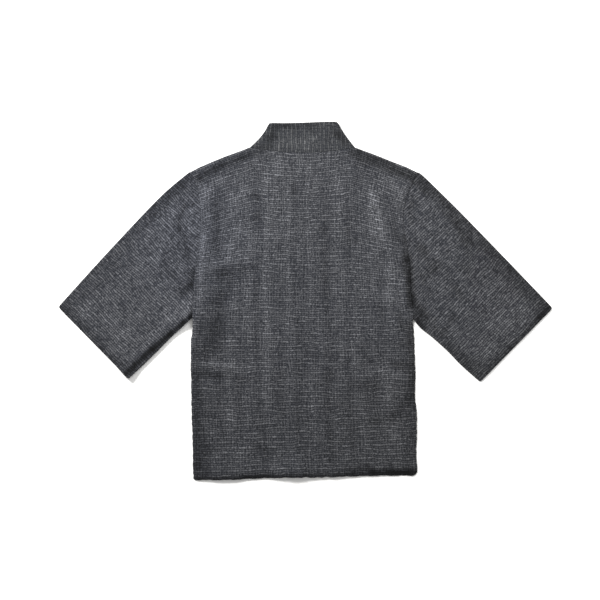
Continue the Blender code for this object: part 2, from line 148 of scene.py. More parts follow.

# Folds: start x, y, run x, y, half width, height in tenths of a millimetre; painted shade (below 100)
# or painted highlight (above 100) in percent
# Places are from the picture, or guessed where hidden; scratch scripts wrote the rows in these units
BACK_FOLDS = (
    # roll beside the left armhole, with painted highlight
    (-2261, -1912, -68, -1350, 67, 9, 144), (-2351, -3307, -113, -1013, 79, 7, 124),
    (-2261, -1147, 0, -630, 112, 4, 112),
    # rounds high on the left
    (-2284, -922, 248, 225, 135, 6, 117), (-1901, -675, 157, 68, 79, 4, 114),
    (-1519, -1057, 225, 180, 90, 5, 122), (-934, -832, 315, 405, 112, 5, 117),
    (-1609, -2092, -45, -270, 90, 4, 120), (-1406, -1687, 22, -180, 67, 3, 118),
    (-2059, -2587, 315, 135, 90, 5, 115),
    # hollow that turns down the left side
    (-1969, -1102, 68, -743, 160, -5, 86), (-2014, -1957, 68, -360, 112, -7, 78),
    (-1901, -2677, 562, 45, 140, -8, 82), (-1679, -2767, 25, -383, 170, -7, 78),
    (-1924, -2767, 23, -440, 185, -11, 77), (-1924, -3427, -68, -853, 230, -15, 60),
    (-2059, -4400, -135, -280, 215, -10, 78),
    # hollow below the left shoulder point
    (-2306, -594, 180, -103, 90, -4, 74), (-1541, -787, -45, -270, 90, -3, 86),
    (-1789, -1057, 45, -180, 90, -3, 86),
    # small hollows of the left chest
    (-1316, -1507, 270, 67, 90, -4, 78), (-1114, -990, 90, 0, 72, -3, 76),
    (-1856, -832, 67, -113, 90, -3, 86), (-1046, -1057, 22, -540, 79, -3, 92),
    (-1091, -2002, -45, -405, 112, 4, 116), (-1339, -2587, 405, 225, 90, -3, 86),
    (-259, -765, 68, -135, 79, -3, 82),
    # crease across the left side
    (-2306, -4747, 630, -68, 81, 14, 132), (-1676, -4837, 517, -68, 112, 7, 113),
    (-2509, -4972, 608, -57, 81, -14, 62), (-1901, -5040, 697, -90, 90, -7, 86),
    # left edge below it
    (-2396, -5197, 22, -1800, 112, -6, 78), (-2261, -6593, 135, -134, 112, -4, 86),
    (-2261, -5917, 112, -23, 90, -3, 86), (-2441, -7020, 270, -112, 101, -6, 74),
    # right chest
    (1541, -878, 23, -224, 101, 4, 114), (1586, -1147, 135, -765, 170, 6, 115),
    (1721, -1350, 45, -562, 72, 5, 114), (1946, -810, 135, -337, 124, 5, 114),
    (1856, -1552, 23, -495, 112, 4, 112), (1271, -1755, 113, 45, 79, 3, 118),
    (1856, -607, 405, -203, 112, 6, 124), (2194, -877, -23, -675, 79, 4, 114),
    (1811, -967, 0, -180, 59, -3, 90), (1091, -22, -135, -90, 101, -3, 84),
    (2014, -1552, 22, -360, 79, -4, 86),
    # rounds beside the right armhole
    (1901, -2452, 0, -315, 112, 5, 115), (1721, -3217, 225, -90, 135, 6, 120),
    (2194, -2857, 45, -495, 90, 5, 112), (2216, -2452, 45, -225, 90, -3, 84),
    (1811, -2295, 45, -112, 90, -3, 86), (2171, -3667, 23, -270, 101, -4, 82),
    (709, -2745, 22, -135, 79, -3, 86), (11, -1485, 23, -180, 79, -3, 86),
    (-394, -4162, 0, -225, 79, -3, 86), (-1226, -2677, -135, -90, 90, -3, 86),
    (-1294, -652, 45, -45, 90, -3, 86), (776, -652, 68, -180, 101, 4, 114),
    # crease across the right side
    (1316, -5040, 405, 113, 112, 5, 112), (1811, -4882, 293, -135, 101, 10, 120),
    (2104, -5040, 270, -45, 79, 8, 115), (1969, -4792, 517, 0, 90, -10, 78),
    (1204, -5242, 472, -45, 112, -7, 85),
    # right edge below it
    (2374, -3937, 22, -363, 90, -4, 96), (2329, -4585, 45, -230, 101, 4, 114),
    (2464, -5107, -23, -495, 101, -6, 76), (1564, -6075, 427, 113, 112, -8, 80),
    (2036, -5917, 338, 315, 135, -9, 76), (1901, -6120, 90, -270, 95, 6, 124),
    # soft painted shade and painted highlights low on the back
    (529, -5017, -23, -743, 135, -5, 83), (34, -6030, 900, -67, 59, -4, 88),
    (-146, -5467, 0, -878, 90, -4, 87), (-1046, -6615, 247, -135, 124, -5, 81),
    (-1159, -6165, 518, 0, 72, -3, 88), (596, -6367, 68, -540, 79, -4, 84),
    (1091, -6232, 23, -68, 90, -3, 86), (821, -6412, 45, -90, 72, -3, 86),
    (956, -6593, 23, -202, 90, 4, 118), (1114, -4477, 0, -293, 63, 3, 122),
    (169, -4702, 0, -135, 72, 3, 116), (-191, -4567, 90, 0, 67, 3, 114),
    (-934, -4905, 68, -67, 72, 4, 120), (-1654, -5872, 45, -248, 90, 3, 113),
    (-844, -3712, 45, -90, 79, 3, 118), (-1474, -6637, 90, -158, 112, 4, 112),
    (1901, -5197, 23, -315, 112, 4, 112), (-1744, -6727, -270, -135, 90, 3, 112),
    # inside the shoulders
    (-2351, -562, 360, 202, 92, -9, 62), (-1991, -360, 630, 259, 86, -10, 54),
    (-1361, -101, 427, 141, 70, -8, 66), (1091, 10, 518, -202, 112, -7, 70),
    (1609, -180, 607, -270, 112, -8, 70), (2216, -450, 360, -180, 101, -8, 70),
    # rolled hem, in painted shade, with a painted highlight above it
    (-1361, -7279, 607, 23, 54, -3, 50), (934, -7177, 607, 33, 90, -6, 60),
    (1541, -7180, 979, 8, 80, -10, 30), (-934, -7110, 405, 23, 79, 5, 115),
    # last small touches of painted shade and painted highlight
    (-850, -1880, 590, 50, 140, 4, 113), (-850, -290, 830, -60, 160, 4, 111),
    (880, -1320, 410, 460, 140, 4, 111), (-2340, -1250, 100, 400, 120, 3, 110),
    (2190, -1400, -40, 400, 100, 3, 110), (1350, -4980, 290, 50, 120, 3, 110),
    (-2470, -4200, 30, 340, 80, 3, 110), (2490, -7250, 10, 300, 100, 3, 120),
    (300, -700, 140, 10, 120, 3, 108), (-1960, -4370, 200, 20, 110, 3, 109),
    (450, -6010, 170, 0, 110, 3, 109), (-1180, -3130, 180, 10, 100, 3, 109),
    (1560, -7150, 120, 0, 100, 3, 110), (-1660, -3640, 180, 0, 120, -3, 91),
    (2060, -4300, 80, 0, 120, -3, 91), (1880, -6100, 100, 0, 120, -3, 91),
    (1660, -560, 160, 40, 120, -3, 92), (-2000, -2150, 100, 20, 110, -3, 91),
    (2160, -7240, 140, 0, 90, -3, 84), (2300, -7240, -180, -20, 100, -3, 84),
    (2400, -3560, -20, -160, 100, -3, 88), (-2100, -3400, -20, -80, 120, -2, 91),
    (-2190, -5580, -20, -80, 120, -2, 91), (2080, -4280, 10, -80, 120, -2, 91),
    (2180, -260, 20, -70, 120, 3, 113), (-2040, -900, 0, -90, 120, 2, 108),
    (-730, -1540, 10, -360, 140, 2, 107), (1140, -400, 0, -100, 120, 2, 107),
    (-1500, -7325, 1800, 50, 70, -2, 84), (850, -2860, 590, 0, 130, -2, 94),
    (-1460, -6930, 20, -70, 130, -2, 93), (-1600, -2900, 0, -80, 130, -2, 93),
    (-2080, -3420, -30, -100, 120, -2, 93), (-2220, -4580, 0, -100, 120, -2, 92),
    (-250, 20, 20, 80, 120, 2, 108), (500, -860, 40, -100, 120, 2, 108),
    (1540, -5900, 0, -60, 120, 2, 107), (-1350, -7330, 230, 10, 70, -2, 84),
    (-560, -7300, 220, 5, 70, -2, 86), (2100, -7250, 240, 0, 80, -3, 84),
    (2250, -310, 50, -30, 110, 2, 112), (-2040, -980, -20, -200, 120, 2, 108),
    (1130, -7130, 20, -40, 110, 2, 110), (2000, -3910, -10, -20, 120, -2, 93),
)

# Long soft ridges and hollows down the back, with painted highlight on the ridges and painted shade in
# the hollows
WARP_FOLDS = (
    (-1620, -1000, -60, -5000, 80, 4, 112), (-1230, -600, -30, -6000, 80, 3, 110),
    (-830, -300, 0, -5500, 70, 4, 115), (-310, -600, -20, -4600, 70, 3, 110),
    (140, -300, 50, -5700, 60, 3, 108), (800, -400, 70, -5200, 60, 3, 107),
    (1110, -2200, 30, -4000, 60, 3, 109), (1600, -900, 40, -1400, 140, 6, 110),
    (1940, -2200, -40, -3800, 80, 4, 112), (-1960, -500, 30, -1500, 70, -4, 85),
    (-1080, -2600, 20, -2400, 70, -4, 88), (-540, -600, 10, -5400, 60, -3, 92),
    (-190, -400, 70, -6400, 60, -3, 89), (450, -700, 160, -6300, 80, -5, 84),
    (990, -800, 70, -5800, 60, -3, 90), (1200, -300, 0, -1700, 60, -3, 90),
    (2170, -1200, -20, -1000, 70, -3, 95),
)

# Creases of the face-down right front, which the left one mirrors, with painted shade and painted
# highlight
FRONT_FOLDS = (
    (1050, -1200, 50, -4000, 90, 5, 106), (1550, -2000, 100, -4400, 100, 5, 106),
    (2100, -4500, -900, -200, 80, 7, 90), (2250, -6000, -750, 100, 90, 6, 92),
    (2150, -1500, -100, -1800, 110, 6, 90),
)

SLEEVE_LEFT_FOLDS = (
    # rounds behind the shoulder
    (-2486, -1192, -23, -540, 135, 4, 114), (-2869, -1125, -90, -202, 112, 3, 108),
    (-2666, -832, -113, 157, 101, -3, 86), (-2824, -2362, 23, -113, 101, -3, 86),
    (-5119, -3577, 45, -270, 112, -4, 86), (-3116, -1395, -675, -787, 158, 5, 109),
    # thin trough that curves behind the armhole
    (-2419, -1125, -225, -90, 63, -6, 80), (-2644, -1215, -135, -247, 63, -7, 78),
    (-2779, -1462, 0, -248, 63, -7, 80), (-2779, -1710, 135, -270, 72, -6, 84),
    # hollows beside the armhole
    (-2644, -2092, 113, -315, 112, -7, 84), (-3094, -2565, 180, -202, 135, -5, 84),
    (-2464, -2677, -67, -338, 100, -11, 54), (-2554, -3060, -180, -90, 95, -10, 62),
    (-2621, -2250, -45, -225, 101, -5, 84), (-2711, -2452, 67, -158, 72, 3, 110),
    # round above the under edge
    (-2554, -3262, -405, -360, 112, 7, 112), (-3049, -3780, -112, -90, 90, 5, 116),
    (-3634, -4117, -450, -360, 135, 5, 108),
    # under edge turned away, in painted shade
    (-2500, -3660, -190, -170, 70, -6, 60), (-2700, -3810, -260, -250, 70, -8, 50),
    (-2980, -4070, -400, -355, 75, -8, 42), (-3390, -4400, -540, -500, 80, -8, 40),
    # outer edge
    (-2600, -590, -786, -713, 95, -6, 68), (-3386, -1303, -714, -727, 90, -4, 88),
    (-4174, -2182, -315, -315, 101, -3, 92),
    # corners and cuff
    (-5344, -3510, 158, -90, 101, -3, 92), (-5029, -3847, 90, -90, 101, -5, 80),
    (-4714, -4162, 225, -248, 90, -5, 84), (-4399, -4500, 225, -247, 79, -5, 84),
    # long soft rolls
    (-3454, -2970, -900, -787, 180, 4, 105), (-3116, -2452, -743, -855, 135, 3, 104),
    (-3979, -4117, -262, 112, 135, 4, 112), (-4300, -3555, 200, -395, 146, 3, 108),
    # last small touches of painted shade and painted highlight
    (-4300, -4960, 220, 180, 160, -3, 76), (-3570, -2720, 320, 520, 160, 4, 112),
    (-3800, -1550, 150, 100, 130, -3, 88), (-4800, -2740, 120, 80, 120, -3, 89),
    (-3120, -2760, 360, -80, 120, -3, 90), (-5180, -3920, 120, 100, 120, -3, 90),
    (-5440, -3440, -60, 0, 110, 2, 114), (-3120, -2160, -70, -70, 120, 2, 108),
    (-4000, -2430, -50, -70, 130, 2, 108), (-2660, -3820, -40, -50, 90, -2, 88),
    (-2510, -1930, 0, -80, 110, 2, 109), (-2950, -1740, -40, -80, 110, 2, 108),
    (-2940, -4110, -80, -60, 90, -2, 84), (-2640, -3820, -60, -50, 100, -2, 86),
    (-2650, -3830, -40, -40, 100, -2, 88), (-3080, -4240, -40, -30, 90, -2, 88),
)

SLEEVE_RIGHT_FOLDS = (
    # painted shadow line down the armhole, where the back lies over the sleeve
    (2250, -1912, 56, -428, 80, -6, 76), (2330, -2400, 60, -458, 92, -12, 40),
    (2390, -2900, 20, -500, 100, -12, 42), (2440, -3400, 271, -267, 125, -13, 55),
    (2396, -1192, 45, -360, 101, -4, 84), (3679, -1440, 90, -292, 101, -5, 82),
    # hollow inside the outer edge
    (2464, -562, 292, -203, 112, -7, 70), (2756, -765, 383, -315, 101, -6, 80),
    (3251, -1192, 225, -405, 112, -8, 80), (3476, -1597, 180, -405, 112, -8, 82),
    (3656, -2002, 68, -675, 101, -5, 93), (3319, -3757, -135, -225, 112, -4, 84),
    # outer edge
    (4061, -2025, 315, -292, 101, -5, 84), (4489, -2475, 292, -292, 90, -4, 90),
    (4894, -2925, 247, -225, 79, -4, 90),
    # small hollows
    (2644, -2115, 112, -90, 90, -4, 82), (3004, -2497, -158, -248, 112, -5, 84),
    (2621, -2677, 113, -181, 90, -3, 88), (3409, -3037, 135, -270, 101, -4, 88),
    (4016, -3443, 90, -179, 101, -3, 88), (2981, -3982, 90, -90, 112, -4, 88),
    # soft rounds
    (2846, -1125, -225, -292, 124, 5, 115), (2666, -1777, 135, 67, 112, 3, 110),
    (2891, -2227, 450, 270, 112, 4, 110), (3251, -2452, 180, 135, 101, 4, 112),
    (3476, -3397, 248, -315, 101, 5, 116), (4196, -3915, 270, 113, 146, 5, 117),
    (4511, -3397, 180, 45, 135, 4, 112), (4106, -4432, 225, 90, 112, 3, 110),
    (4151, -3037, 270, 90, 135, 4, 110), (4871, -3443, 180, -314, 135, 4, 108),
    # under edge and cuff
    (3296, -4365, 360, -337, 101, -6, 86), (3679, -4770, 247, -225, 101, -6, 82),
    (5479, -3510, -158, -202, 90, -9, 52), (5321, -3712, -360, -383, 72, -7, 66),
    (4961, -4095, -360, -360, 67, -6, 74), (4489, -4567, -360, -338, 79, -4, 86),
    # last small touches of painted shade and painted highlight
    (3580, -4960, 270, 200, 150, -3, 80), (4300, -4720, 260, 180, 110, -3, 84),
    (2400, -3640, 20, 140, 100, -3, 86), (2900, -3760, 120, 60, 120, -3, 89),
    (2710, -3480, 40, 100, 120, -3, 92), (2490, -3690, 210, -240, 65, -4, 50),
    (3300, -1620, 180, -380, 140, 2, 108), (4020, -2350, 60, -50, 120, 2, 108),
    (2340, -3260, 20, -100, 110, 3, 114),
)

COLLAR_FOLDS = (
    # inside the left fold
    (-630, 560, -70, -223, 112, -6, 76), (-700, 337, -90, -202, 124, -6, 70),
    (-934, 135, -270, -68, 59, -5, 74),
    # along the top edge
    (-664, 585, 225, 22, 72, -5, 66), (-394, 607, 270, 0, 67, -4, 74),
    (56, 652, 270, -22, 79, -4, 78), (-304, 585, 90, -90, 79, -3, 84),
    (124, 585, 67, -135, 79, -3, 82),
    # inside the right fold
    (664, 540, 112, -135, 101, -5, 84), (754, 427, 157, -180, 95, -6, 70),
    (619, 337, -68, -112, 79, -3, 86),
    # small rounds
    (169, 360, 45, -45, 63, 3, 125), (34, 180, 45, -68, 59, 3, 125),
    (641, 360, 23, -90, 56, 3, 120), (-619, 247, 68, -157, 90, 3, 112),
    (-236, 158, 45, -46, 67, 3, 114), (281, 315, 45, -68, 67, 3, 112),
    # last small touches of painted shade and painted highlight
    (-820, 650, 80, -10, 90, 3, 122), (-1140, 160, 80, 100, 90, 3, 114),
    (760, 560, 100, 0, 90, 3, 112), (-760, 660, 1500, 30, 80, 1, 112),
    (-1080, 210, -40, -30, 90, 1, 110),
)

# Painted shade inside the garment's edges: pairs of depth in tenths of a millimetre and shade in
# percent
SIDE_LEFT_SHADE = ((0, 84), (70, 74), (140, 68), (260, 80), (360, 84), (460, 92), (580, 100))
SIDE_RIGHT_SHADE = ((0, 64), (140, 74), (260, 88), (400, 100))
HEM_SHADE = ((0, 32), (60, 54), (120, 84), (220, 96), (340, 100))
SHOULDER_LEFT_SHADE = ((0, 68), (50, 84), (120, 82), (240, 84), (440, 100))
SHOULDER_RIGHT_SHADE = ((0, 58), (140, 78), (260, 86), (420, 100))
OUTER_EDGE_SHADE = ((0, 60), (80, 69), (200, 76), (360, 90), (500, 100))
UNDER_LEFT_SHADE = ((0, 76), (40, 70), (80, 48), (115, 40), (160, 58), (220, 94), (360, 104), (600, 100))
UNDER_RIGHT_SHADE = ((0, 70), (100, 86), (240, 84), (460, 92), (640, 100))
CUFF_SHADE = ((0, 52), (50, 66), (140, 87), (340, 100))
COLLAR_EDGE_SHADE = ((0, 62), (40, 82), (160, 92), (300, 100))


# Curves in plan
def smooth_points(points, per_step=24):
    """Catmull-Rom curve through the points as an array of close points."""
    p = np.array(points)
    p = np.vstack([p[:1], p, p[-1:]])
    t = np.linspace(0.0, 1.0, per_step, endpoint=False)[:, None]
    steps = [
        0.5 * (2 * b + (c - a) * t + (2 * a - 5 * b + 4 * c - d) * t ** 2
               + (3 * b - a - 3 * c + d) * t ** 3)
        for a, b, c, d in zip(p, p[1:], p[2:], p[3:])
    ]
    return np.vstack(steps + [p[-1:]])


def unit(vector):
    return vector / np.hypot(*vector)


def step_lengths(points):
    return np.hypot(*np.diff(points, axis=0).T)


def read_line(points, share):
    """Points at shares of the length of a line."""
    run = np.concatenate([[0.0], np.cumsum(step_lengths(points))])
    spot = share * run[-1]
    return np.stack([np.interp(spot, run, along) for along in points.T], -1)


def mix(a, b, share):
    return a + (b - a) * share


def smoothstep(low, high, value):
    share = np.clip((value - low) / (high - low), 0.0, 1.0)
    return share * share * (3.0 - 2.0 * share)


def bell(distance, width):
    return np.exp(-(distance / width) ** 2)


def turned(depth, width):
    """Share of the height kept at a depth inside an edge that turns down in a quarter round."""
    share = np.clip(depth / width, 0.0, 1.0)
    return np.sqrt(np.clip(1.0 - (1.0 - share) ** 2, 0.0, 1.0))


def even_steps(length, step):
    return np.linspace(0.0, 1.0, max(2, int(round(length / step)) + 1))


def edged_steps(length, step, edge, edge_step):
    """Shares with finer steps within an edge at both ends."""
    fine = np.arange(0.0, edge, edge_step)
    count = int(round((length - 2 * edge) / step))
    middle = np.linspace(edge, length - edge, count + 1)
    return np.concatenate([fine, middle, length - fine[::-1]]) / length


# Noise and folds
LATTICE = 256


def lattice_noise(a, b, seed):
    """Smooth noise from -1 to 1 on a lattice of one unit."""
    table = np.random.default_rng(seed).uniform(-1.0, 1.0, (LATTICE, LATTICE))
    i, j = np.floor(a).astype(int), np.floor(b).astype(int)
    s, t = smoothstep(0.0, 1.0, a - i), smoothstep(0.0, 1.0, b - j)
    i, j, i1, j1 = i % LATTICE, j % LATTICE, (i + 1) % LATTICE, (j + 1) % LATTICE
    low = mix(table[i, j], table[i1, j], s)
    high = mix(table[i, j1], table[i1, j1], s)
    return mix(low, high, t)


def crinkle(u, v, seed, pitch=ROW_PITCH, closing=0.0):
    """Counts of weft ridges and raised warp threads, which wander a little, and the height."""
    row = v / pitch * (1.0 + closing * v) + 0.6 * lattice_noise(u / 0.045, v / 0.030, seed)
    row += 0.32 * lattice_noise(u / 0.014, v / 0.011, seed + 1)
    column = u / COLUMN_PITCH + 0.40 * lattice_noise(u / 0.050, v / 0.070, seed + 2)
    column += 0.45 * lattice_noise(u / 0.015, v / 0.040, seed + 7)
    run = 0.75 + 0.55 * lattice_noise(u / 0.013, np.round(row), seed + 3)
    ridge = np.cos(2.0 * math.pi * row) * run
    double_ridge = np.cos(math.pi * row)
    rib = np.cos(2.0 * math.pi * column) * lattice_noise(column * 0.5, v / 0.045, seed + 4)
    bands = lattice_noise(u / 0.024, v / 0.070, seed + 5)
    swell = lattice_noise(u / 0.070, v / 0.090, seed + 6)
    height = 0.00011 * ridge + 0.00007 * double_ridge + 0.00006 * rib + 0.00016 * bands
    return row, column, height + 0.00030 * swell


def band_tone(u, v, seed):
    """Soft bands of tone along the warp."""
    narrow = lattice_noise(u / 0.011, v / 0.150, seed)
    wide = lattice_noise(u / 0.030, v / 0.200, seed + 1)
    cloud = lattice_noise(u / 0.045, v / 0.050, seed + 2)
    return 1.0 + 0.13 * narrow + 0.09 * wide + 0.07 * cloud


def distance_to(x, y, x0, y0, x1, y1):
    """Distance to a segment, and the share of the way along it."""
    run = np.array([x1 - x0, y1 - y0])
    share = np.clip(((x - x0) * run[0] + (y - y0) * run[1]) / (run @ run), 0.0, 1.0)
    return np.hypot(x - x0 - run[0] * share, y - y0 - run[1] * share), share


def fold_relief(folds, x, y, seed, uneven=0.3):
    """Height of the folds, and their painted shade and painted highlight; each one's width and depth
    wander along it.
    """
    height = np.zeros_like(x)
    tone = np.ones_like(x)
    for k, (x0, y0, run_x, run_y, half_width, rise, percent) in enumerate(folds):
        lengths = (x0, y0, x0 + run_x, y0 + run_y, half_width, rise)
        x0, y0, x1, y1, half_width, rise = np.divide(lengths, PER_METRE)
        gap, share = distance_to(x, y, x0, y0, x1, y1)
        length = math.hypot(x1 - x0, y1 - y0)
        wander = lattice_noise(share * length / 0.025 + 7.3 * k, 0.5, seed)
        profile = bell(gap, half_width * (1.0 + 0.25 * wander))
        profile *= 1.0 + uneven * lattice_noise(share * length / 0.018 + 3.1 * k, 5.5, seed)
        height += rise * profile
        # Painted shade where a fold's percent is below 100, painted highlight where it is above
        tone *= 1.0 + ((percent / 100.0) ** PAINTED_LIGHT_POWER - 1.0) * np.clip(profile, 0.0, 1.0)
    return height, tone


# Painted shade towards an edge, read from a table
def edge_tone(depth, pairs):
    depths, percents = np.transpose(pairs)
    return np.interp(depth, depths / PER_METRE, percents / 100.0)


# The plan's edges
def neck_seam_y(x):
    end_x = np.where(x < 0, NECK_LEFT[0], NECK_RIGHT[0])
    end_y = np.where(x < 0, NECK_LEFT[1], NECK_RIGHT[1])
    return end_y * (x / end_x) ** 2


def top_edge_y(x):
    left = np.interp(x, *zip(*SHOULDER_LEFT))
    right = np.interp(x, *zip(*SHOULDER_RIGHT))
    inside = (x > NECK_LEFT[0]) & (x < NECK_RIGHT[0])
    return np.where(inside, neck_seam_y(x), np.where(x < 0, left, right))


def hem_y(x):
    """The hem rises to the right and waves a little."""
    wave = 0.0005 * np.sin(x * 143.0 + 1.0) + 0.0003 * np.sin(x * 410.0)
    wave = wave + 0.0008 * np.sin(x * 265.0) * bell(x - 0.025, 0.075)
    return np.interp(x, *zip(*HEM)) + wave


def hem_lift(x, depth):
    """The hem stands off the surface in three places."""
    lift = sum(height * bell(x - place, width) for height, place, width in HEM_LIFTS)
    return lift * smoothstep(0.060, 0.006, depth)


def under_lift(sign, down, depth):
    """The sleeves' under edges stand off the surface: left all along, right near the body."""
    if sign < 0:
        lift = 0.0038 + 0.0056 * bell(down, 0.16) + 0.0056 * smoothstep(0.80, 1.0, down)
    else:
        lift = 0.0070 * bell(down, 0.10)
    return lift * smoothstep(0.0, 0.08, down) * smoothstep(0.050, 0.004, depth)


def armpit_lift(x, y):
    """Body and sleeve stand up a little around the left armpit."""
    armpit_x, armpit_y = ARMHOLE_LEFT[-1]
    return 0.0034 * np.exp(-((x - armpit_x) ** 2 + (y - armpit_y) ** 2) / 0.035 ** 2)


def band_seam_x(y):
    outer = FRONT_GAP + BAND_WIDTH
    share = np.clip((y - BAND_BEND_Y) / (NECK_LEFT[1] - BAND_BEND_Y), 0.0, None)
    return mix(outer, -NECK_LEFT[0], share)


def cuff_corners(outer, under):
    return (outer[-1], outer[-2], under[-1], 0.006), (under[-1], under[-2], outer[-1], 0.005)


# Corners of the outline: corner, a point along each edge from it, radius
CORNERS = (
    (COLLAR_TOP_LEFT, NECK_LEFT, COLLAR_TOP_RIGHT, 0.018),
    (COLLAR_TOP_RIGHT, COLLAR_TOP_LEFT, NECK_RIGHT, 0.016),
    (ARMHOLE_LEFT[0], SHOULDER_LEFT[1], OUTER_LEFT[1], 0.030),
    (ARMHOLE_RIGHT[0], SHOULDER_RIGHT[-2], OUTER_RIGHT[1], 0.025),
    *cuff_corners(OUTER_LEFT, UNDER_LEFT),
    *cuff_corners(OUTER_RIGHT, UNDER_RIGHT),
    (SIDE_LEFT[0], SIDE_LEFT[1], SIDE_RIGHT[0], 0.005),
    (SIDE_RIGHT[0], SIDE_RIGHT[1], SIDE_LEFT[0], 0.011),
)


def round_corners(x, y):
    """Plan points drawn in so that the outline's corners are round."""
    for corner, before, after, radius in CORNERS:
        corner, before, after = np.array(corner), np.array(before), np.array(after)
        to_before, to_after = unit(before - corner), unit(after - corner)
        inward = unit(to_before + to_after)
        half_angle = math.acos(np.clip(to_before @ inward, -1.0, 1.0))
        centre = corner + inward * radius / math.sin(half_angle)
        px, py = x - centre[0], y - centre[1]
        reach = np.hypot(px, py) + 1e-9
        swing = np.arccos(np.clip(-(px * inward[0] + py * inward[1]) / reach, -1.0, 1.0))
        open_angle = math.pi / 2 - half_angle
        pull = np.where(swing < open_angle, np.cos(np.clip(open_angle - swing, 0.0, None)), 1.0)
        near = smoothstep(3.0, 1.5, reach / radius * math.sin(half_angle))
        pull = mix(1.0, pull, near)
        x, y = centre[0] + px * pull, centre[1] + py * pull
    return x, y


# Meshes
def add_object(name, data):
    thing = bpy.data.objects.new(name, data)
    bpy.context.scene.collection.objects.link(thing)
    return thing


def cloth_mesh(name, material, xyz, grain, wall=CLOTH, closed=False, flip=False, **attributes):
    """A cloth piece from grids of its outer face's x, y, z, with its grain in metres as a UV map."""
    x, y = round_corners(*xyz[:2])
    points = np.stack([x + SHIFT_X, y + SHIFT_Y, xyz[2]], -1)
    rows, columns = x.shape
    index = np.arange(rows * columns).reshape(rows, columns)
    if closed:
        index = np.hstack([index, index[:, :1]])
    quads = np.stack([index[:-1, :-1], index[:-1, 1:], index[1:, 1:], index[1:, :-1]], -1)
    quads = quads.reshape(-1, 4)
    if flip:
        quads = quads[:, ::-1]
    mesh = bpy.data.meshes.new(name)
    mesh.from_pydata(points.reshape(-1, 3).tolist(), [], quads.tolist())
    uv = mesh.uv_layers.new(name="grain")
    corners = np.empty(len(mesh.loops), dtype=np.int32)
    mesh.loops.foreach_get("vertex_index", corners)
    uv.data.foreach_set("uv", np.stack(grain, -1).reshape(-1, 2)[corners].ravel())
    for key, values in attributes.items():
        layer = mesh.attributes.new(key, "FLOAT", "POINT")
        layer.data.foreach_set("value", np.asarray(values, float).ravel())
    mesh.shade_smooth()
    mesh.materials.append(material)
    piece = add_object(name, mesh)
    solidify = piece.modifiers.new("wall", "SOLIDIFY")
    solidify.thickness = wall
    solidify.offset = -1.0
    return piece


def declare(piece, node):
    """What the piece rides on and stands for."""
    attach(piece, "root")
    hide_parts(node)


# Materials
def set_inputs(node, values):
    for key, value in values.items():
        node.inputs[key].default_value = value


